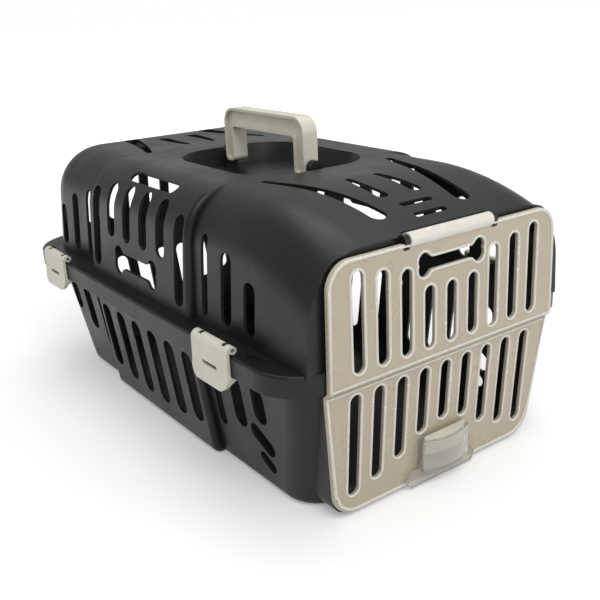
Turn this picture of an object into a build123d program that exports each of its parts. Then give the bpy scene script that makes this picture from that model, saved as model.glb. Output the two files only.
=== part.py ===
from build123d import *
from math import cos, radians, sqrt, tan
import os

# Pet carrier, door facing -Y, length along Y, floor at Z = 0, millimetres.

wall = 2.6
floor_thick = 3.0
mid_y = 16.6              # middle of the slot rows
back_shift = -7.25        # brings the middle of the whole length onto Y = 0

# rim where the two shells meet
rim_half = 158.0
rim_front = -239.4
rim_rear = 262.0
rim_low = 117.0
ledge_top = 134.0
ledge_thick = 2.6
rim_corner_front = 40.0
rim_corner_rear = 56.0
skirt_gap = 0.35

# end sections and the wider middle section of the shells
end_half_floor = 120.5
end_half_rim = 137.5
end_half_top = 129.5
mid_half_floor = 128.5
mid_half_rim = 144.0
mid_half_top = 134.5
front_floor = -213.0
front_rim = -236.4
front_rim_tray = -233.6
rear_floor = 224.0
rear_rim = 253.0
rear_top = 246.0
step_front_floor = -84.0
step_rear_floor = 117.0
step_front_rim = -82.0
step_rear_rim = 115.0
step_front_top = -78.0
step_rear_top = 111.0
roof = 241.0
roof_bend = -129.0        # from here the roof falls to the front edge
roof_radius = 260.0
end_shoulder = 50.0
mid_shoulder = 44.0
dome_corner = 56.0        # rear corners of the lid in plan
tray_round = 9.0
lip_grow = 1.5
lip_thick = 3.2

# ventilation slots along both long sides
slot_pitch = 32.8
slot_wide = 15.5
slot_narrow = 9.5
lower_slot_wide = 18.0
lower_slot_narrow = 11.0
upper_slot_low = 141.5
upper_slot_tops = [185.0, 201.0, 209.0, 219.0, 226.0, 227.0]
bone_slot_low = 176.0
lower_slot_top = 99.0
lower_slot_lows = [65.0, 49.0, 37.0, 29.0, 23.5, 21.5]

# door, its opening and its hinge
door_pitch = 23.6
door_slot = 11.0
door_thick = 3.0
door_half_low = 111.5
door_half_crease = 123.0
door_half_top = 121.0
door_low = 3.4
door_top = 214.0
crease_low = 112.6
crease_top = 117.4
upper_slot_start = 126.0
upper_ends = [176.0, 177.0, 195.0, 199.5, 204.0]
lower_slot_start = 107.5
lower_ends = [54.0, 49.0, 35.0, 25.5, 19.0]
open_half_low = 99.0
open_half_crease = 110.5
open_top = 203.0
hinge_y = -238.2
hinge_z = 215.0
pin_r = 2.2
run_gap = 0.06
barrel_r = 5.8
barrel_half = 44.0
lug_r = 4.8
lug_thick = 5.0
lug_gap = 0.5

# latch at the foot of the door
pocket_half = 25.5
pocket_deep = 13.5
pocket_wall = 2.0
pocket_low = 15.0
pocket_high = 43.0
button_gap = 0.4
button_low = 31.0
button_high = 46.0
button_stroke = 5.0

# side clips
clip_width = 53.0
clip_front_y = -142.5
clip_rear_y = 175.5
clip_thick = 2.6
clip_gap = 0.4
clip_corner = 12.0
clip_pin_r = 1.6
clip_axis_x = 155.0
clip_axis_z = 137.6
clip_barrel_r = 3.2
clip_ear_r = 2.9
clip_low = 103.5
hook_top = 116.2
hook_reach = 6.4
ear_off = 17.0
ear_thick = 4.0

# carry handle and the well it folds into
handle_y = -3.0
handle_half = 65.5
handle_wide = 16.0
handle_top = 284.0
leg_wide = 15.0
handle_rim = 2.4
handle_recess = 3.5
pivot_z = 240.0
pivot_r = 2.5
pivot_deep = 8.0
ear_r = 6.5
ear_wide = 7.0
ear_side_gap = 1.5
leg_end = 8.3             # from the pivot to the end of a leg
well_half_x = 61.0
well_half_y = 77.0
well_corner = 40.0
well_slope = 20.0
well_floor = 223.0


def block(x0, x1, y0, y1, z0, z1):
    return Pos((x0 + x1) / 2, (y0 + y1) / 2, (z0 + z1) / 2) * Box(x1 - x0, y1 - y0, z1 - z0)


def plan_face(half, front, rear, z, r_front, r_rear):
    """Outline with rounded corners in plan, at height z."""
    with BuildSketch(Plane.XY.offset(z)) as sketch:
        with BuildLine():
            Polyline((-half, front), (half, front), (half, rear), (-half, rear), close=True)
        make_face()
        corners = sketch.vertices()
        if r_front > 0:
            fillet(corners.group_by(Axis.Y)[0], r_front)
        if r_rear > 0:
            fillet(sketch.vertices().group_by(Axis.Y)[-1], r_rear)
    return sketch.sketch.face()


def rim_face(inset, z):
    """Outline of the rim in plan, drawn in by inset."""
    return plan_face(rim_half - inset, rim_front + inset, rim_rear - inset, z,
                     rim_corner_front - inset, rim_corner_rear - inset)


def lofted(low, high):
    return Solid.make_loft([low.outer_wire(), high.outer_wire()], ruled=True)


def yz_solid(points, x0, x1):
    """Closed polygon in the YZ plane, extruded from x0 to x1."""
    wire = Wire.make_polygon([Vector(x0, y, z) for y, z in points], close=True)
    return Solid.extrude(Face(wire), Vector(x1 - x0, 0, 0))


def xz_solid(points, y0, y1, radius=0):
    """Closed polygon in the XZ plane, extruded from y0 to y1, with its long edges rounded."""
    wire = Wire.make_polygon([Vector(x, y0, z) for x, z in points], close=True)
    body = Solid.extrude(Face(wire), Vector(0, y1 - y0, 0))
    if radius > 0:
        body = fillet(body.edges().filter_by(Axis.Y), radius)
    return body


def side_slot(y, z0, z1, width):
    """Round ended upright slot through both long side walls."""
    upright = Pos(y, (z0 + z1) / 2) * SlotOverall(z1 - z0, width, rotation=90)
    cut = extrude(Plane.YZ.offset(92) * upright, 110)
    return cut + mirror(cut, about=Plane.YZ)


def end_slot(x, z0, z1, width, y0, y1):
    """Round ended upright slot through a wall that faces along Y."""
    r = width / 2
    body = block(x - r, x + r, y0, y1, z0 + r, z1 - r)
    for z in (z0 + r, z1 - r):
        body += Pos(x, (y0 + y1) / 2, z) * Rot(90, 0, 0) * Cylinder(r, y1 - y0)
    return body


def bone(length, lobe, spread, shaft, blend):
    """Bone outline in the XY plane, lying along X, its shaft blended into the lobes."""
    reach = length / 2 - lobe
    shape = Rectangle(2 * reach, shaft)
    for side in (-1, 1):
        for up in (-1, 1):
            shape += Pos(side * reach, up * spread) * Circle(lobe)
    necks = [v for v in shape.vertices() if abs(v.X) < reach]
    return fillet(necks, blend)


def lower_body(inset, z0, z1):
    """End section and middle section of the tray, joined."""
    def at(low, high, z):
        return low + (high - low) * z / rim_low
    ends = lofted(
        plan_face(at(end_half_floor, end_half_rim, z0) - inset, at(front_floor, front_rim_tray, z0) + inset,
                  at(rear_floor, rear_rim, z0) - inset, z0, 34 - inset, 40 - inset),
        plan_face(at(end_half_floor, end_half_rim, z1) - inset, at(front_floor, front_rim_tray, z1) + inset,
                  at(rear_floor, rear_rim, z1) - inset, z1, 24 - inset, 46 - inset))
    middle = lofted(
        *[plan_face(at(mid_half_floor, mid_half_rim, z) - inset,
                    at(step_front_floor, step_front_rim, z) + inset,
                    at(step_rear_floor, step_rear_rim, z) - inset, z, 0, 0) for z in (z0, z1)])
    return ends, middle


def soften_steps(body, z_low, z_high, radius):
    """Rounds the edges of a band's two end faces, but not those on its top or bottom plane."""
    low, high = body.bounding_box().min, body.bounding_box().max
    picked = []
    for edge in body.edges():
        spot = edge.center()
        near_end = min(spot.Y - low.Y, high.Y - spot.Y) < 8
        flat = edge.bounding_box().size.Z < 0.5
        if near_end and not (flat and (spot.Z < z_low or spot.Z > z_high)):
            if edge.bounding_box().size.Y < 8:
                picked.append(edge)
    return fillet(picked, radius)


def door_frame(grow, y0, y1, z0, z1):
    """Tapering four sided outline round the doorway, extruded along Y."""
    low = open_half_low + grow
    high = open_half_crease + grow
    return xz_solid([(-low, z0), (low, z0), (high, z1), (-high, z1)], y0, y1)


def lower_shell():
    seat = ledge_top - ledge_thick
    ends, middle = lower_body(0, 0, seat)
    ends = fillet(ends.edges().group_by(Axis.Z)[0], tray_round)
    middle = fillet(middle.edges().group_by(Axis.Z)[0].filter_by(Axis.Y), tray_round)
    middle = soften_steps(middle, 12, seat - 2, 5)
    outer = ends + middle
    in_ends, in_middle = lower_body(wall, floor_thick, seat + 1)
    in_ends = fillet(in_ends.edges().group_by(Axis.Z)[0], tray_round - wall)
    in_middle = fillet(in_middle.edges().group_by(Axis.Z)[0].filter_by(Axis.Y), tray_round - wall)
    # the frame the door closes against stands forward of the sloping front wall
    frame = door_frame(11.5, -244, front_floor + 16, 3.0, rim_low - 0.4)
    frame = fillet(frame.edges().filter_by(Axis.Y).group_by(Axis.Z)[0], 16)
    lean = yz_solid([(-235.0, 113.0), (-234.6, 150), (-150, 150), (-150, 0), (-228.2, 0)], -140, 140)
    outer = outer + (frame & lean)
    body = outer - in_ends - in_middle
    doorway = door_frame(0, -260, front_floor + 14, 21.0, 160)
    doorway = fillet(doorway.edges().filter_by(Axis.Y).group_by(Axis.Z)[0], 12)
    body -= doorway
    # flange that sits inside the lid's skirt
    tab = wall + skirt_gap
    flange = lofted(rim_face(tab, rim_low + 1.0), rim_face(tab, rim_low + 3.6))
    core_ends, core_middle = lower_body(wall / 2, rim_low - 2, rim_low + 6)
    flange -= core_ends
    flange -= core_middle
    flange -= block(-113, 113, -260, -200, rim_low - 5, rim_low + 10)
    body += flange
    for i, low in enumerate(lower_slot_lows):
        for side in (-1, 1):
            y = mid_y + side * slot_pitch * (5.5 - i)
            width = lower_slot_narrow if i == 2 else lower_slot_wide
            body -= side_slot(y, low, lower_slot_top, width)
    # small leaf openings low down by the front corners
    for y, z, tilt, length, width in ((-160, 48, 30, 34, 15.5), (-162, 27, 30, 22, 11.5)):
        leaf = extrude(SlotOverall(length, width), 400, both=True)
        body -= Pos(0, y, z) * Rot(0, 90, 0) * Rot(0, 0, 90 + tilt) * leaf
    # rear ventilation
    for k in range(-3, 4):
        body -= end_slot(k * 27.0, 40 + abs(k) * 6, 98, slot_wide, 150, 300)
    return body


def roof_fall(y):
    """How far the roof has dropped at y, along its arc to the front edge."""
    reach = max(0.0, roof_bend - y)
    return roof_radius - sqrt(roof_radius ** 2 - reach ** 2)


def roof_cutter(top):
    """What lies above the roof line."""
    end, half_way = -250.0, (roof_bend - 250.0) / 2
    with BuildSketch(Plane.YZ) as sketch:
        with BuildLine():
            Line((300, top), (roof_bend, top))
            low = top - roof_fall(end)
            ThreePointArc((roof_bend, top), (half_way, top - roof_fall(half_way)), (end, low))
            Polyline((end, low), (-300, low), (-300, 340), (300, 340), (300, top))
        make_face()
    return extrude(sketch.sketch, 200, both=True)


def dome_end(inset):
    """End sections of the lid in one piece, with wide shoulders."""
    z0 = ledge_top - ledge_thick
    body = lofted(
        plan_face(end_half_rim - inset, front_rim + inset, rear_rim - inset, z0, 0, dome_corner - inset),
        plan_face(end_half_top - inset, front_rim + 0.8 + inset, rear_top - inset, 250, 0,
                  dome_corner - inset))
    body = (body - roof_cutter(roof - inset)).solid()
    ring = [e for e in body.edges() if e.center().Z > 205 and e.center().Y > front_rim + 6 + inset]
    return fillet(ring, end_shoulder - inset)


def dome_middle(inset):
    """Middle section of the lid, standing out at both sides."""
    z0 = ledge_top - ledge_thick
    body = lofted(
        plan_face(mid_half_rim - inset, step_front_rim + inset, step_rear_rim - inset, z0, 0, 0),
        plan_face(mid_half_top - inset, step_front_top + inset, step_rear_top - inset, roof - inset, 0, 0))
    ridge = body.edges().group_by(Axis.Z)[-1].filter_by(Axis.Y)
    body = fillet(ridge, mid_shoulder - inset)
    return soften_steps(body, z0 + 3, roof - 3, 5 - inset / 2)


def handle_well(grow, z0):
    """Recess with sloping sides under the handle, from z0 up past the roof."""
    with BuildSketch(Plane.XY.offset(z0)) as sketch:
        with Locations((0, handle_y)):
            RectangleRounded(2 * (well_half_x + grow), 2 * (well_half_y + grow), well_corner + grow)
    return extrude(sketch.sketch, roof + 12 - z0, taper=-well_slope)


def upper_shell():
    z0 = ledge_top - ledge_thick
    outer = dome_end(0) + dome_middle(0)
    inner = dome_end(wall) + dome_middle(wall)
    inner = inner + Pos(0, 0, -3) * extrude(plan_face(120, -230, 240, z0, 10, 40), 4)
    # the well's skin is as thick as the walls, measured square to its slope
    slope = radians(well_slope)
    well_out = handle_well(wall / cos(slope) - wall * tan(slope), well_floor - wall)
    well_in = handle_well(0, well_floor)
    skin = outer - (inner - well_out)
    # header behind the door's hinge barrel
    header = outer & block(-62, 62, -245, -224, open_top, 260)
    skin = skin + header
    # lip round the front edge, a little larger than the door
    lip = xz_solid([(-door_half_crease - lip_grow, z0), (door_half_crease + lip_grow, z0),
                    (door_half_top + lip_grow, door_top + lip_grow),
                    (-door_half_top - lip_grow, door_top + lip_grow)], front_rim, front_rim + lip_thick)
    skin = skin + fillet(lip.edges().filter_by(Axis.Y).group_by(Axis.Z)[-1], 22)
    skin = skin - well_in
    # ledge and skirt of the rim
    plate = lofted(rim_face(0, rim_low), rim_face(0, ledge_top))
    plate = fillet(plate.edges().group_by(Axis.Z)[-1], 2.4)
    hollow = lofted(rim_face(wall, rim_low - 1), rim_face(wall, z0))
    rim = plate - hollow
    rim = rim - dome_end(wall) - dome_middle(wall)
    rim = rim - block(-open_half_crease - 2, open_half_crease + 2, -260, -200, rim_low - 5, ledge_top + 30)
    body = skin + rim
    # doorway
    doorway = xz_solid([(-open_half_crease, 100), (open_half_crease, 100), (open_half_crease - 1.5, open_top),
                        (-open_half_crease + 1.5, open_top)], -260, -215)
    doorway = fillet(doorway.edges().filter_by(Axis.Y).group_by(Axis.Z)[-1], 16)
    body -= doorway
    # ventilation along the sides
    for i, top in enumerate(upper_slot_tops):
        for side in (-1, 1):
            y = mid_y + side * slot_pitch * (5.5 - i)
            width = slot_narrow if i == 2 else slot_wide
            low = bone_slot_low if i > 3 else upper_slot_low
            body -= side_slot(y, low, top, width)
    side_bone = Plane.YZ * Pos(mid_y, 157) * bone(84, 8.5, 5.0, 15, 6)
    body -= extrude(side_bone, 200, both=True)
    # crescents on the shoulders
    for side in (-1, 1):
        crescent = Pos(side * 117.5, 8, 225) * extrude(SlotOverall(84, 11, rotation=90), 30)
        body -= crescent
    # roof ventilation ahead of the handle
    for side in (-1, 1):
        body -= leaf_cut((side * 69, -96), (side * 55, -150), (side * 45, -206), 7, 16)
        body -= leaf_cut((side * 15.5, -139), (side * 17.5, -162), (side * 17.5, -181), 6, 12)
        body -= leaf_cut((side * 69, 112), (side * 55, 158), (side * 47, 198), 7, 16)
        body -= leaf_cut((side * 15.5, 128), (side * 17.5, 152), (side * 17.5, 176), 6, 12)
    for y in (-202, -218):
        body -= Pos(0, y, 200) * extrude(SlotOverall(34, 5.5), 80)
    # rear ventilation
    for k in range(-3, 4):
        body -= end_slot(k * 27.0, 144, 206 - abs(k) * 5, slot_wide, 150, 300)
    # ears outside the legs hold the handle pivots
    for side in (-1, 1):
        y = handle_y + side * (handle_half + ear_side_gap + ear_wide / 2)
        ear = block(-ear_r, ear_r, y - ear_wide / 2, y + ear_wide / 2, well_floor - 1, pivot_z)
        ear += Pos(0, y, pivot_z) * Rot(90, 0, 0) * Cylinder(ear_r, ear_wide)
        body += ear
        body -= Pos(0, y - side * 1.5, pivot_z) * Rot(90, 0, 0) * Cylinder(pivot_r, 4)
    # notch and lugs of the door hinge
    body -= block(-barrel_half - lug_gap, barrel_half + lug_gap, -260, hinge_y + barrel_r + 0.8,
                  open_top + 3, 240)
    for side in (-1, 1):
        x = side * (barrel_half + lug_gap + lug_thick / 2)
        lug = Pos(x, hinge_y, hinge_z) * Rot(0, 90, 0) * Cylinder(lug_r, lug_thick)
        lug += block(x - lug_thick / 2, x + lug_thick / 2, hinge_y, -226, hinge_z - lug_r, hinge_z + 1)
        body += lug
        seat = Pos(side * (barrel_half + lug_gap + 2.5), hinge_y, hinge_z) * Rot(0, 90, 0)
        body -= seat * Cylinder(pin_r, 5.0)
    # oval sockets on the ledge beside the clips
    for side in (-1, 1):
        for y in (clip_front_y - 42, clip_rear_y + 42):
            body -= Pos(side * 146.5, y, ledge_top - 1.2) * extrude(SlotOverall(14, 7, rotation=90), 5)
    # ears that hold the clip pins
    for side in (-1, 1):
        for y in (clip_front_y, clip_rear_y):
            for end in (-1, 1):
                yy = y + end * ear_off
                ear = Pos(side * clip_axis_x, yy, clip_axis_z) * Rot(90, 0, 0) * Cylinder(clip_ear_r, ear_thick)
                inner_x = side * (clip_axis_x - 6)
                outer_x = side * (clip_axis_x + 2.4)
                ear += block(min(inner_x, outer_x), max(inner_x, outer_x),
                             yy - ear_thick / 2, yy + ear_thick / 2, ledge_top - 1.5, ledge_top + 2.2)
                body += ear
                body -= Pos(side * clip_axis_x, yy, clip_axis_z) * Rot(90, 0, 0) * Cylinder(clip_pin_r, 20)
    return body


def leaf_cut(start, middle, stop, narrow, wide):
    """Curved opening in the roof that widens from start to stop, cut straight down."""
    onward = 1 if stop[1] > start[1] else -1
    waist = (narrow + wide) / 2

    def beside(point, width, side):
        return point[0] + side * width / 2, point[1]

    with BuildSketch() as sketch:
        with BuildLine():
            ThreePointArc(beside(start, narrow, 1), beside(middle, waist, 1), beside(stop, wide, 1))
            ThreePointArc(beside(stop, wide, 1), (stop[0], stop[1] + onward * wide / 2),
                          beside(stop, wide, -1))
            ThreePointArc(beside(stop, wide, -1), beside(middle, waist, -1), beside(start, narrow, -1))
            ThreePointArc(beside(start, narrow, -1), (start[0], start[1] - onward * narrow / 2),
                          beside(start, narrow, 1))
        make_face()
    return Pos(0, 0, 200) * extrude(sketch.sketch, 60)


def door_plate():
    front = [(-241.6, door_top), (-243.2, crease_top), (-238.6, crease_low), (-231.9, door_low)]
    back = [(y + door_thick, z) for y, z in reversed(front)]
    slab = yz_solid(front + back, -150, 150)
    upper = xz_solid([(-door_half_crease, 113), (door_half_crease, 113), (door_half_top, door_top),
                      (-door_half_top, door_top)], -260, -220)
    upper = fillet(upper.edges().filter_by(Axis.Y).group_by(Axis.Z)[-1], 21)
    lower = xz_solid([(-door_half_low, door_low), (door_half_low, door_low), (door_half_crease, 115),
                      (-door_half_crease, 115)], -260, -220)
    lower = fillet(lower.edges().filter_by(Axis.Y).group_by(Axis.Z)[0], 22)
    return slab & (upper + lower)


def door_panel():
    body = door_plate()
    for k in range(-4, 5):
        x = k * door_pitch
        body -= end_slot(x, upper_slot_start, upper_ends[abs(k)], door_slot, -260, -220)
        body -= end_slot(x, lower_ends[abs(k)], lower_slot_start, door_slot, -260, -220)
    body -= Pos(0, -220, 194) * Rot(90, 0, 0) * extrude(bone(72, 6.6, 3.2, 10, 6), 40)
    # room for the lugs, then the barrel on the top edge
    for side in (-1, 1):
        x0 = barrel_half - 0.2
        x1 = barrel_half + lug_gap + lug_thick + 0.8
        body -= block(min(side * x0, side * x1), max(side * x0, side * x1), -260, -220, hinge_z - lug_r - 1.6, 240)
    return body - Pos(0, hinge_y, hinge_z) * Rot(0, 90, 0) * Cylinder(barrel_r, 2 * barrel_half)


def hinge_cap():
    """Round cover moulded along the top of the door, with ribs that run on the pin."""
    axis = Pos(0, hinge_y, hinge_z) * Rot(0, 90, 0)
    cap = axis * Cylinder(barrel_r, 2 * barrel_half) - axis * Cylinder(barrel_r - 1.8, 4 * barrel_half)
    for x in (-barrel_half + 3, -barrel_half / 3, barrel_half / 3, barrel_half - 3):
        cap += Pos(x, hinge_y, hinge_z) * Rot(0, 90, 0) * Cylinder(barrel_r - 1, 6)
    cap -= axis * Cylinder(pin_r + run_gap, 4 * barrel_half)
    return cap


def hinge_pin():
    half = barrel_half + lug_gap + 5.0
    return Pos(0, hinge_y, hinge_z) * Rot(0, 90, 0) * Cylinder(pin_r, 2 * half)


def door_front_y(z):
    return -238.6 + (crease_low - z) / (crease_low - door_low) * 6.7


def pocket_shape(inset, z0, z1):
    """D shaped column in front of the door, straight side at the door."""
    half = pocket_half - inset
    back = -228.0 - inset
    front = -234.0 - pocket_deep + inset
    with BuildSketch(Plane.XY.offset(z0)) as sketch:
        with BuildLine():
            Line((-half, back), (half, back))
            Line((half, back), (half, front + 6))
            ThreePointArc((half, front + 6), (0, front), (-half, front + 6))
            Line((-half, front + 6), (-half, back))
        make_face()
    return extrude(sketch.sketch, z1 - z0)


def latch_housing():
    body = pocket_shape(0, pocket_low, pocket_high) - pocket_shape(pocket_wall, pocket_low + 2, pocket_high + 5)
    body += block(-pocket_half, pocket_half, -237.6, -228, pocket_low, pocket_high)
    foot = xz_solid([(-36, 2.0), (36, 2.0), (39, 9), (34, 16), (-34, 16), (-39, 9)], -236.8, -228)
    foot = fillet(foot.edges().filter_by(Axis.Y), 3)
    body += foot
    behind = yz_solid([(door_front_y(-20), -20), (door_front_y(112), 112), (-150, 112), (-150, -20)], -60, 60)
    return body - behind


def latch_button():
    body = pocket_shape(pocket_wall + button_gap, button_low, button_high)
    body -= block(-60, 60, -237.6 - button_gap, -200, 0, 80)
    return body


def latch_spring():
    y = -242.0
    path = Helix(3.2, button_low - pocket_low - 2 - 1.0, 2.9)
    ring = Plane(origin=path @ 0, z_dir=path % 0) * Circle(0.45)
    coil = sweep(ring, path=path)
    return Pos(0, y, pocket_low + 2 + 0.5) * coil


def side_clip(side, y):
    """Clip hung on a pin above the rim, hooked under the rim below."""
    x = clip_axis_x
    inner = rim_half + clip_gap
    outer = inner + clip_thick
    top = clip_axis_z + clip_barrel_r
    half = clip_width / 2
    with BuildSketch(Plane.XZ.offset(-y - half)) as side_view:
        with BuildLine():
            ThreePointArc((x, top), (outer - 1.3, top - 2.0), (outer, clip_axis_z - 3))
            Polyline((outer, clip_axis_z - 3), (outer + 0.4, hook_top), (outer + 2.4, clip_low),
                     (outer, clip_low), (inner - 1.0, hook_top - 6), (inner - hook_reach, hook_top - 2.6),
                     (inner - hook_reach, hook_top), (inner, hook_top), (inner, ledge_top + 2), (x, top))
        make_face()
    body = extrude(side_view.sketch, clip_width)
    body += Pos(x, y, clip_axis_z) * Rot(90, 0, 0) * Cylinder(clip_barrel_r, clip_width)
    with BuildSketch(Plane.YZ) as front_view:
        with Locations((y, (top + clip_low) / 2)):
            Rectangle(clip_width, top - clip_low + 0.4)
        fillet(front_view.vertices().group_by(Axis.Y)[0], clip_corner)
    body = body & extrude(front_view.sketch, 220)
    for end in (-1, 1):
        yy = y + end * ear_off
        slot = ear_thick / 2 + 0.5
        body -= block(x - 10, inner, yy - slot, yy + slot, ledge_top, clip_axis_z + 10)
    body -= Pos(x, y, clip_axis_z) * Rot(90, 0, 0) * Cylinder(clip_pin_r + run_gap, clip_width + 10)
    # slit in the finger tab
    slit = Pos(outer, y, hook_top + 3) * Rot(0, 90, 0) * extrude(SlotOverall(22, 3.4, rotation=90), 8, both=True)
    body -= slit
    return body if side > 0 else mirror(body, about=Plane.YZ)


def clip_pin(side, y):
    return Pos(side * clip_axis_x, y, clip_axis_z) * Rot(90, 0, 0) * Cylinder(clip_pin_r, clip_width - 6)


def handle_outline(inset):
    """U shape in the YZ plane, legs down."""
    outer = handle_half - inset
    inner = handle_half - leg_wide + inset
    top = handle_top - inset
    grip = handle_top - 18.0 + inset
    low = pivot_z - leg_end + inset
    with BuildSketch(Plane.YZ) as sketch:
        with BuildLine():
            Polyline((-outer, low), (-inner, low), (-inner, grip), (inner, grip), (inner, low), (outer, low),
                     (outer, top), (-outer, top), close=True)
        make_face()
        fillet([v for v in sketch.vertices() if v.Y > top - 1], 15 - inset)
        fillet([v for v in sketch.vertices() if v.Y < low + 1], 5.0 - inset * 0.6)
        fillet([v for v in sketch.vertices() if abs(v.Y - grip) < 0.1], 3.5 + inset * 0.6)
    return sketch.sketch


def carry_handle():
    half = handle_wide / 2
    body = Pos(-half, 0, 0) * extrude(handle_outline(0), handle_wide)
    body -= Pos(-half - 1, 0, 0) * extrude(handle_outline(handle_rim), handle_recess + 1)
    body = Pos(0, handle_y, 0) * body
    for side in (-1, 1):
        y = handle_y + side * handle_half
        body -= Pos(0, y, pivot_z) * Rot(90, 0, 0) * Cylinder(pivot_r + run_gap, 2 * pivot_deep)
    return body


def handle_pin(side):
    """Pin fixed in an ear, which ends in a blind hole of the leg."""
    start = handle_y + side * (handle_half + ear_side_gap + ear_wide / 2 + 0.5)
    stop = handle_y + side * (handle_half - pivot_deep + 0.5)
    return Pos(0, (start + stop) / 2, pivot_z) * Rot(90, 0, 0) * Cylinder(pivot_r, abs(stop - start))


def save(name, *solids):
    placed = [Pos(0, back_shift, 0) * s for s in solids]
    shape = placed[0] if len(placed) == 1 else Compound(children=placed)
    export_step(shape, f"parts/{name}.step")
    print(name, [round(v.volume) for v in shape.solids()], round(shape.volume / 1000, 1), shape.bounding_box())


os.makedirs("parts", exist_ok=True)
save("door_panel", door_panel())
save("door_hinge_cap", hinge_cap())
save("door_hinge_pin", hinge_pin())
save("latch_housing", latch_housing())
save("latch_button", latch_button())
save("latch_spring", latch_spring())
for name, side, y in (("clip_front_left", -1, clip_front_y), ("clip_rear_left", -1, clip_rear_y),
                      ("clip_front_right", 1, clip_front_y), ("clip_rear_right", 1, clip_rear_y)):
    save(name, side_clip(side, y))
    save(name + "_pin", clip_pin(side, y))
save("carry_handle", carry_handle())
save("handle_pin_front", handle_pin(-1))
save("handle_pin_rear", handle_pin(1))
save("lower_shell", lower_shell())
save("upper_shell", upper_shell())
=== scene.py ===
import bpy
import math
from mathutils import Matrix, Vector


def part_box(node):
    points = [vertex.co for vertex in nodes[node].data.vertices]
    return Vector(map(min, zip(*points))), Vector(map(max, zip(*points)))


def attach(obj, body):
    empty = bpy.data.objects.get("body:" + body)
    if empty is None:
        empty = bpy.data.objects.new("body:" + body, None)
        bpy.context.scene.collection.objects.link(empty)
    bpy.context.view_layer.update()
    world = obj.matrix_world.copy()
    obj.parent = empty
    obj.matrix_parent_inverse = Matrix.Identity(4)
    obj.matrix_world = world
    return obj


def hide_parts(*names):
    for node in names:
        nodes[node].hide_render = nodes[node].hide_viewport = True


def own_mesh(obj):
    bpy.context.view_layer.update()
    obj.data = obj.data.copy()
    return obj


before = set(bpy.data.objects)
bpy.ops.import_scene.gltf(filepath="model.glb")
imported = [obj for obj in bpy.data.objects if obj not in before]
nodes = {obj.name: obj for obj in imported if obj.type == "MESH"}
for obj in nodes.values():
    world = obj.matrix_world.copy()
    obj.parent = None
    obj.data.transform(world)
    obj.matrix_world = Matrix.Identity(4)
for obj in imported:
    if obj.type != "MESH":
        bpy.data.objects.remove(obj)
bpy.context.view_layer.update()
scene = bpy.context.scene
mm = 0.001
print("frame loaded")


# materials

def newMaterial(name):
    material = bpy.data.materials.new(name)
    material.use_nodes = True
    tree = material.node_tree
    tree.nodes.clear()
    output = tree.nodes.new("ShaderNodeOutputMaterial")
    shader = tree.nodes.new("ShaderNodeBsdfPrincipled")
    tree.links.new(shader.outputs["BSDF"], output.inputs["Surface"])
    return material, tree, shader


def addNoise(tree, scale, detail, roughness=0.55):
    coords = tree.nodes.new("ShaderNodeTexCoord")
    noise = tree.nodes.new("ShaderNodeTexNoise")
    noise.inputs["Scale"].default_value = scale
    noise.inputs["Detail"].default_value = detail
    noise.inputs["Roughness"].default_value = roughness
    tree.links.new(coords.outputs["Object"], noise.inputs["Vector"])
    return noise


def addRange(tree, source, low, high, fromLow=0.3, fromHigh=0.7):
    spread = tree.nodes.new("ShaderNodeMapRange")
    spread.inputs["From Min"].default_value = fromLow
    spread.inputs["From Max"].default_value = fromHigh
    spread.inputs["To Min"].default_value = low
    spread.inputs["To Max"].default_value = high
    tree.links.new(source, spread.inputs["Value"])
    return spread.outputs["Result"]


# what the looks share: noise detail and where scuffs begin and end; then the values that a look may leave out
shared = {
    "cloudDetail": 4.0, "scuffDetail": 9.0, "scuffRough": 0.7, "scuffFrom": 0.60, "scuffTo": 0.72,
    "smearDetail": 5.0, "smearRough": 0.6, "grainDetail": 2.0,
}
plainLook = {"ior": 1.46, "shine": 0.5, "clear": 0.0, "milk": 0.0, "metal": 0.0}


def mouldedPlastic(name, ownLook):
    look = {**plainLook, **ownLook}
    material, tree, shader = newMaterial(name)
    broad = addNoise(tree, look["cloudScale"], shared["cloudDetail"])
    blend = tree.nodes.new("ShaderNodeMix")
    blend.data_type = "RGBA"
    blend.inputs["A"].default_value = (*look["colour"], 1)
    blend.inputs["B"].default_value = (*look["paler"], 1)
    amount = addRange(tree, broad.outputs["Fac"], 0.0, 1.0)
    # faint scuffs, a little paler than the rest
    scuffs = addNoise(tree, look["scuffScale"], shared["scuffDetail"], shared["scuffRough"])
    worn = addRange(tree, scuffs.outputs["Fac"], 0.0, look["scuff"], shared["scuffFrom"], shared["scuffTo"])
    both = tree.nodes.new("ShaderNodeMath")
    both.operation = "MULTIPLY_ADD"
    both.inputs[1].default_value = look["cloud"]
    tree.links.new(amount, both.inputs[0])
    tree.links.new(worn, both.inputs[2])
    both.use_clamp = True
    tree.links.new(both.outputs["Value"], blend.inputs["Factor"])
    tree.links.new(blend.outputs["Result"], shader.inputs["Base Color"])
    smears = addNoise(tree, look["smearScale"], shared["smearDetail"], shared["smearRough"])
    tree.links.new(addRange(tree, smears.outputs["Fac"], *look["roughness"]), shader.inputs["Roughness"])
    grain = addNoise(tree, look["grainScale"], shared["grainDetail"])
    bump = tree.nodes.new("ShaderNodeBump")
    bump.inputs["Strength"].default_value = look["bump"]
    bump.inputs["Distance"].default_value = look["bumpDepth"]
    tree.links.new(grain.outputs["Fac"], bump.inputs["Height"])
    tree.links.new(bump.outputs["Normal"], shader.inputs["Normal"])
    shader.inputs["IOR"].default_value = look["ior"]
    shader.inputs["Specular IOR Level"].default_value = look["shine"]
    shader.inputs["Transmission Weight"].default_value = look["clear"]
    shader.inputs["Metallic"].default_value = look["metal"]
    if look["milk"] > 0:
        shader.inputs["Subsurface Weight"].default_value = look["milk"]
        shader.inputs["Subsurface Radius"].default_value = look["milkReach"]
        shader.inputs["Subsurface Scale"].default_value = look["milkScale"]
    return material


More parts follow.
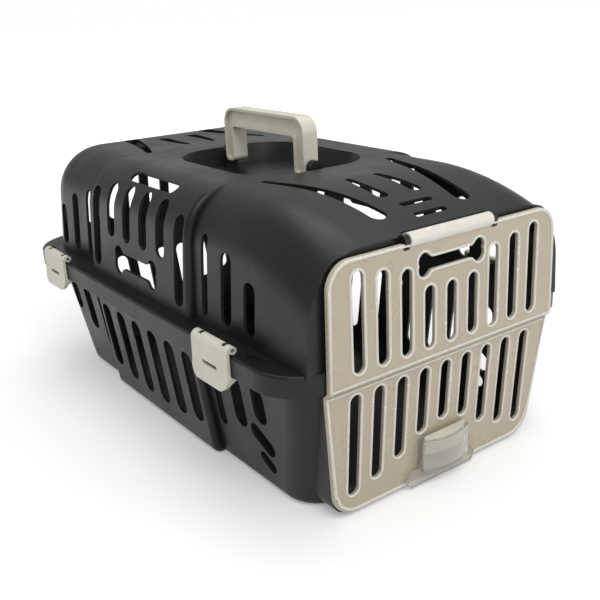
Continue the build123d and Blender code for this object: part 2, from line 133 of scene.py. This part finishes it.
blackLook = {
    "colour": (0.0065, 0.0088, 0.0070), "paler": (0.017, 0.021, 0.017), "cloud": 0.25, "cloudScale": 14.0,
    "scuff": 0.5, "scuffScale": 60.0, "roughness": (0.30, 0.44), "smearScale": 22.0, "grainScale": 900.0,
    "bump": 0.12, "bumpDepth": 0.0004, "shine": 0.36,
}
creamLook = {
    "colour": (0.60, 0.58, 0.47), "paler": (0.68, 0.66, 0.57), "cloud": 0.8, "cloudScale": 30.0,
    "scuff": 0.5, "scuffScale": 90.0, "roughness": (0.30, 0.44), "smearScale": 40.0, "grainScale": 1200.0,
    "bump": 0.08, "bumpDepth": 0.0003, "milk": 0.15, "milkReach": (0.8, 0.6, 0.4), "milkScale": 0.002,
}
tanLook = {
    "colour": (0.47, 0.40, 0.30), "paler": (0.53, 0.46, 0.36), "cloud": 0.6, "cloudScale": 7.0,
    "scuff": 0.12, "scuffScale": 50.0, "roughness": (0.24, 0.36), "smearScale": 26.0, "grainScale": 800.0,
    "bump": 0.10, "bumpDepth": 0.0004, "milk": 0.25, "milkReach": (1.0, 0.7, 0.4), "milkScale": 0.003,
    "clear": 0.05,
}
milkyLook = {
    "colour": (0.84, 0.79, 0.71), "paler": (0.90, 0.86, 0.79), "cloud": 0.8, "cloudScale": 25.0,
    "scuff": 0.1, "scuffScale": 80.0, "roughness": (0.18, 0.30), "smearScale": 50.0, "grainScale": 1000.0,
    "bump": 0.08, "bumpDepth": 0.0003, "milk": 0.3, "milkReach": (1.0, 0.8, 0.6), "milkScale": 0.003,
    "clear": 0.25,
}
clearLook = {
    "colour": (0.84, 0.82, 0.76), "paler": (0.90, 0.88, 0.84), "cloud": 0.8, "cloudScale": 25.0,
    "scuff": 0.4, "scuffScale": 80.0, "roughness": (0.08, 0.16), "smearScale": 50.0, "grainScale": 1000.0,
    "bump": 0.06, "bumpDepth": 0.0003, "clear": 0.78,
}
steelLook = {
    "colour": (0.45, 0.45, 0.46), "paler": (0.6, 0.6, 0.6), "cloud": 0.5, "cloudScale": 200.0,
    "scuff": 0.2, "scuffScale": 500.0, "roughness": (0.25, 0.4), "smearScale": 300.0, "grainScale": 2000.0,
    "bump": 0.05, "bumpDepth": 0.0001, "metal": 1.0,
}
blackPlastic = mouldedPlastic("blackPlastic", blackLook)
creamPlastic = mouldedPlastic("creamPlastic", creamLook)
tanPlastic = mouldedPlastic("tanPlastic", tanLook)
milkyPlastic = mouldedPlastic("milkyPlastic", milkyLook)
clearPlastic = mouldedPlastic("clearPlastic", clearLook)
springSteel = mouldedPlastic("springSteel", steelLook)

finishes = {
    "lower_shell": blackPlastic, "upper_shell": blackPlastic, "door_panel": tanPlastic,
    "door_hinge_cap": milkyPlastic, "latch_housing": clearPlastic, "latch_button": creamPlastic,
    "latch_spring": springSteel, "carry_handle": creamPlastic, "door_hinge_pin": blackPlastic,
    "handle_pin_front": blackPlastic, "handle_pin_rear": blackPlastic,
}


def paint(node, material):
    part = nodes[node]
    if not part.material_slots:
        part.data.materials.append(material)
    for place in part.material_slots:
        place.material = material


for node in nodes:
    paint(node, finishes.get(node, blackPlastic if node.endswith("_pin") else creamPlastic))
print("finishes assigned")


# raised beads along the door's edges and openings

door = {
    "pitch": 23.6 * mm, "slotWidth": 11.0 * mm, "upperStart": 126.0 * mm, "lowerStart": 107.5 * mm,
    "upperEnds": [end * mm for end in (176.0, 177.0, 195.0, 199.5, 204.0)],
    "lowerEnds": [end * mm for end in (54.0, 49.0, 35.0, 25.5, 19.0)],
    "halfLow": 111.5 * mm, "halfCrease": 123.0 * mm, "halfTop": 121.0 * mm,
    "topCorner": 21.0 * mm, "lowCorner": 22.0 * mm,
    "creaseTop": 117.4 * mm, "creaseLow": 112.6 * mm, "creaseStep": 4.6 * mm,
    "upperLean": 1.6 * mm, "lowerLean": 6.7 * mm,
    "boneLobe": 6.6 * mm, "boneReach": 29.4 * mm, "boneSpread": 3.2 * mm, "boneShaft": 5.0 * mm,
    "boneBlend": 6.0 * mm, "boneZ": 194.0 * mm,
}
beads = {
    "slotRadius": 1.25 * mm, "slotSink": 0.25 * mm, "slotOut": 1.0 * mm, "boneOut": 0.8 * mm,
    "edgeRadius": 1.6 * mm, "edgeSink": 0.4 * mm, "edgeInset": 1.6 * mm,
    "aboveCrease": 1.2 * mm, "belowCrease": 1.0 * mm, "topSpread": 0.4 * mm, "lowSpread": 1.8 * mm,
    "sides": 8, "slotSteps": 10, "cornerSteps": 8, "lobeSteps": 12, "neckSteps": 5,
}
doorLow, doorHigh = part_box("door_panel")
creaseTop, creaseLow = door["creaseTop"], door["creaseLow"]
upperLean = door["upperLean"] / (doorHigh[2] - creaseTop)
lowerLean = door["lowerLean"] / (creaseLow - doorLow[2])


def doorFront(z):
    # the upper half stands forward at the crease, and each half leans back away from it
    if z > (creaseTop + creaseLow) / 2:
        return doorLow[1] + (z - creaseTop) * upperLean
    return doorLow[1] + door["creaseStep"] + (creaseLow - z) * lowerLean


def onDoor(points, sink):
    return [Vector((x, doorFront(z) + sink, z)) for x, z in points]


def arcPoints(x, z, radius, start, stop, steps):
    return [(x + radius * math.cos(start + (stop - start) * i / steps),
             z + radius * math.sin(start + (stop - start) * i / steps)) for i in range(steps + 1)]


def slotLoop(x, low, high, width):
    r = width / 2
    steps = beads["slotSteps"]
    over = arcPoints(x, high - r, r, 0, math.pi, steps)
    under = arcPoints(x, low + r, r, math.pi, 2 * math.pi, steps)
    return over + under


def boneLoop(settings, grow):
    # one quarter runs from the notch at the tip, round a lobe and into the shaft, and is mirrored twice
    lobe, blend = settings["boneLobe"] + grow, settings["boneBlend"] - grow
    reach, spread, shaft, z = (settings[key] for key in ("boneReach", "boneSpread", "boneShaft", "boneZ"))
    neckZ = shaft + grow + blend
    neckX = reach - math.sqrt((lobe + blend) ** 2 - (neckZ - spread) ** 2)
    turn = math.atan2(neckZ - spread, neckX - reach)
    quarter = arcPoints(reach, spread, lobe, -math.asin(spread / lobe), turn, beads["lobeSteps"])
    quarter += arcPoints(neckX, neckZ, blend, turn - math.pi, -math.pi / 2, beads["neckSteps"])[1:]
    top = quarter + [(-px, pz) for px, pz in reversed(quarter)][:-1]
    low = [(-px, -pz) for px, pz in top]
    return [(px, z + pz) for px, pz in top + low]


def loopsToCurve(name, loops):
    data = bpy.data.curves.new(name, "CURVE")
    data.dimensions = "3D"
    for loop in loops:
        spline = data.splines.new("POLY")
        spline.points.add(len(loop) - 1)
        for point, place in zip(spline.points, loop):
            point.co = (*place, 1)
        spline.use_cyclic_u = True
    path = bpy.data.objects.new(name, data)
    scene.collection.objects.link(path)
    return path


def beadTree(name, material):
    # a round bead swept along every loop
    tree = bpy.data.node_groups.new(name, "GeometryNodeTree")
    tree.interface.new_socket("Geometry", in_out="INPUT", socket_type="NodeSocketGeometry")
    radius = tree.interface.new_socket("Bead radius", in_out="INPUT", socket_type="NodeSocketFloat")
    sides = tree.interface.new_socket("Bead sides", in_out="INPUT", socket_type="NodeSocketInt")
    tree.interface.new_socket("Geometry", in_out="OUTPUT", socket_type="NodeSocketGeometry")
    start = tree.nodes.new("NodeGroupInput")
    end = tree.nodes.new("NodeGroupOutput")
    ring = tree.nodes.new("GeometryNodeCurvePrimitiveCircle")
    sweep = tree.nodes.new("GeometryNodeCurveToMesh")
    real = tree.nodes.new("GeometryNodeRealizeInstances")
    smooth = tree.nodes.new("GeometryNodeSetShadeSmooth")
    finish = tree.nodes.new("GeometryNodeSetMaterial")
    finish.inputs["Material"].default_value = material
    link = tree.links.new
    link(start.outputs["Geometry"], sweep.inputs["Curve"])
    link(start.outputs["Bead radius"], ring.inputs["Radius"])
    link(start.outputs["Bead sides"], ring.inputs["Resolution"])
    link(ring.outputs["Curve"], sweep.inputs["Profile Curve"])
    link(sweep.outputs["Mesh"], real.inputs["Geometry"])
    link(real.outputs["Geometry"], smooth.inputs["Geometry"])
    link(smooth.outputs["Geometry"], finish.inputs["Geometry"])
    link(finish.outputs["Geometry"], end.inputs["Geometry"])
    return tree, radius.identifier, sides.identifier


def sweptBead(name, loops, radius, material):
    path = loopsToCurve(name + "Path", loops)
    tree, radiusSocket, sidesSocket = beadTree(name + "Tree", material)
    modifier = path.modifiers.new("bead", "NODES")
    modifier.node_group = tree
    modifier[radiusSocket] = radius
    modifier[sidesSocket] = beads["sides"]
    graph = bpy.context.evaluated_depsgraph_get()
    mesh = bpy.data.meshes.new_from_object(path.evaluated_get(graph))
    path.modifiers.clear()
    bpy.data.objects.remove(path)
    if not mesh.materials:
        mesh.materials.append(material)
    bead = bpy.data.objects.new(name, mesh)
    scene.collection.objects.link(bead)
    return bead


slotOut, slotSink = beads["slotOut"], beads["slotSink"]
slotLoops = []
for column in range(-4, 5):
    x = column * door["pitch"]
    wide = door["slotWidth"] + 2 * slotOut
    top = door["upperEnds"][abs(column)] + slotOut
    bottom = door["lowerEnds"][abs(column)] - slotOut
    slotLoops.append(onDoor(slotLoop(x, door["upperStart"] - slotOut, top, wide), slotSink))
    slotLoops.append(onDoor(slotLoop(x, bottom, door["lowerStart"] + slotOut, wide), slotSink))
slotLoops.append(onDoor(boneLoop(door, beads["boneOut"]), slotSink))
slotRims = sweptBead("doorSlotRims", slotLoops, beads["slotRadius"], milkyPlastic)
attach(slotRims, "door")

# the edge of the upper half runs from right to left over the top, that of the lower half back under it
inset, steps = beads["edgeInset"], beads["cornerSteps"]
halfCrease = door["halfCrease"] - inset
upperFoot = creaseTop + beads["aboveCrease"]
upperCorner = door["topCorner"] - inset
upperSide = door["halfTop"] - inset
upperX = upperSide - upperCorner
upperZ = doorHigh[2] - inset - upperCorner
upperEdge = [(halfCrease, upperFoot), (upperSide + beads["topSpread"], upperZ)]
upperEdge += arcPoints(upperX, upperZ, upperCorner, 0, math.pi / 2, steps)[1:]
upperEdge += arcPoints(-upperX, upperZ, upperCorner, math.pi / 2, math.pi, steps)
upperEdge += [(-halfCrease, upperFoot)]
lowerHead = creaseLow - beads["belowCrease"]
lowerCorner = door["lowCorner"] - inset
lowerSide = door["halfLow"] - inset
lowerX = lowerSide - lowerCorner
lowerZ = doorLow[2] + inset + lowerCorner
lowerEdge = [(-halfCrease, lowerHead), (-lowerSide - beads["lowSpread"], lowerZ)]
lowerEdge += arcPoints(-lowerX, lowerZ, lowerCorner, math.pi, 1.5 * math.pi, steps)[1:]
lowerEdge += arcPoints(lowerX, lowerZ, lowerCorner, 1.5 * math.pi, 2 * math.pi, steps)[:-1]
lowerEdge += [(lowerSide + beads["lowSpread"], lowerZ), (halfCrease, lowerHead)]
edgeLoops = [onDoor(edge, beads["edgeSink"]) for edge in (upperEdge, lowerEdge)]
edgeBeads = sweptBead("doorEdgeBeads", edgeLoops, beads["edgeRadius"], milkyPlastic)
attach(edgeBeads, "door")
print("door beads made")


# the coil under the latch button, which in the real latch shortens as the button goes in; here it is a fixed
# copy of the spring part that moves with the door

springMesh = nodes["latch_spring"].data.copy()
springMesh.transform(nodes["latch_spring"].matrix_world)
springMesh.materials.clear()
springMesh.materials.append(springSteel)
springCoil = bpy.data.objects.new("springCoil", springMesh)
scene.collection.objects.link(springCoil)
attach(springCoil, "door")
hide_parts("latch_spring")
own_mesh(springCoil)
print("spring made")


# floor, world, lights and camera

def plane(name, size, height):
    mesh = bpy.data.meshes.new(name)
    half = size / 2
    corners = [(x * half, y * half, height) for x, y in ((-1, -1), (1, -1), (1, 1), (-1, 1))]
    mesh.from_pydata(corners, [], [(0, 1, 2, 3)])
    sheet = bpy.data.objects.new(name, mesh)
    scene.collection.objects.link(sheet)
    return sheet


def anyRay(tree, *kinds):
    # 1 where the ray is one of the kinds, else 0
    rays = tree.nodes.new("ShaderNodeLightPath")
    total = rays.outputs[kinds[0]]
    for kind in kinds[1:]:
        either = tree.nodes.new("ShaderNodeMath")
        either.operation = "ADD"
        either.use_clamp = True
        tree.links.new(total, either.inputs[0])
        tree.links.new(rays.outputs[kind], either.inputs[1])
        total = either.outputs["Value"]
    return total


def whiteBackground(tree, strength):
    background = tree.nodes.new("ShaderNodeBackground")
    background.inputs["Color"].default_value = (1, 1, 1, 1)
    background.inputs["Strength"].default_value = strength
    return background.outputs["Background"]


stageLook = {
    "size": 30.0, "drop": 0.5 * mm, "diffuse": 0.80, "ambient": 0.55, "seenWorld": 1.0,
    "nearGlow": 0.26, "farGlow": 1.0, "near": 0.75, "far": 2.2,
}
floor = plane("floor", stageLook["size"], -stageLook["drop"])
floorMaterial = bpy.data.materials.new("paleFloor")
floorMaterial.use_nodes = True
tree = floorMaterial.node_tree
tree.nodes.clear()
output = tree.nodes.new("ShaderNodeOutputMaterial")
matte = tree.nodes.new("ShaderNodeBsdfDiffuse")
matte.inputs["Color"].default_value = (stageLook["diffuse"],) * 3 + (1,)
glow = tree.nodes.new("ShaderNodeEmission")
seen = tree.nodes.new("ShaderNodeMath")
seen.operation = "MULTIPLY"
total = tree.nodes.new("ShaderNodeAddShader")
tree.links.new(anyRay(tree, "Is Camera Ray", "Is Glossy Ray", "Is Transmission Ray"), seen.inputs[0])
# the floor turns plain white away from the object and keeps its shadow near it
coords = tree.nodes.new("ShaderNodeTexCoord")
reach = tree.nodes.new("ShaderNodeVectorMath")
reach.operation = "LENGTH"
tree.links.new(coords.outputs["Object"], reach.inputs[0])
spread = addRange(tree, reach.outputs["Value"], stageLook["nearGlow"], stageLook["farGlow"],
                  stageLook["near"], stageLook["far"])
tree.links.new(spread, seen.inputs[1])
tree.links.new(seen.outputs["Value"], glow.inputs["Strength"])
tree.links.new(matte.outputs["BSDF"], total.inputs[0])
tree.links.new(glow.outputs["Emission"], total.inputs[1])
tree.links.new(total.outputs["Shader"], output.inputs["Surface"])
floor.data.materials.append(floorMaterial)

world = bpy.data.worlds.new("softWorld")
scene.world = world
world.use_nodes = True
tree = world.node_tree
tree.nodes.clear()
output = tree.nodes.new("ShaderNodeOutputWorld")
pick = tree.nodes.new("ShaderNodeMixShader")
tree.links.new(anyRay(tree, "Is Camera Ray", "Is Transmission Ray"), pick.inputs["Fac"])
tree.links.new(whiteBackground(tree, stageLook["ambient"]), pick.inputs[1])
tree.links.new(whiteBackground(tree, stageLook["seenWorld"]), pick.inputs[2])
tree.links.new(pick.outputs["Shader"], output.inputs["Surface"])


def softbox(name, place, target, size, watts):
    data = bpy.data.lights.new(name, "AREA")
    data.shape = "RECTANGLE"
    data.size, data.size_y = size
    data.energy = watts
    lamp = bpy.data.objects.new(name, data)
    lamp.location = place
    lamp.rotation_euler = (Vector(target) - Vector(place)).to_track_quat("-Z", "Y").to_euler()
    scene.collection.objects.link(lamp)


softbox("keyLight", (-0.6, -1.3, 1.9), (0, 0, 0.1), (1.4, 1.0), 20)
softbox("topLight", (0.5, 0.4, 2.2), (0, 0, 0.1), (1.6, 1.6), 16)
softbox("frontLight", (1.3, -1.8, 0.9), (0, -0.2, 0.1), (0.9, 1.2), 7)

view = {
    "place": (-447.1 * mm, -666.7 * mm, 382.7 * mm), "azimuth": -36.04, "pitch": 20.31, "roll": -2.32,
    "focalPixels": 829.4, "imagePixels": 600, "centre": (301.3, 304.6), "sensor": 36.0, "near": 0.01,
}
azimuth, pitch, roll = (math.radians(view[key]) for key in ("azimuth", "pitch", "roll"))
back = Vector((math.sin(azimuth) * math.cos(pitch), -math.cos(azimuth) * math.cos(pitch), math.sin(pitch)))
right = (-back).cross(Vector((0, 0, 1))).normalized()
up = right.cross(-back)
turned = math.cos(roll) * right + math.sin(roll) * up
upright = -math.sin(roll) * right + math.cos(roll) * up
lens = bpy.data.cameras.new("camera")
lens.sensor_width = view["sensor"]
lens.lens = view["focalPixels"] / view["imagePixels"] * view["sensor"]
lens.shift_x = 0.5 - view["centre"][0] / view["imagePixels"]
lens.shift_y = view["centre"][1] / view["imagePixels"] - 0.5
lens.clip_start = view["near"]
camera = bpy.data.objects.new("camera", lens)
camera.matrix_world = Matrix.Translation(Vector(view["place"])) @ Matrix(
    (turned, upright, back)).transposed().to_4x4()
scene.collection.objects.link(camera)
scene.camera = camera
scene.view_settings.view_transform = "Standard"
print("floor, light and camera placed")
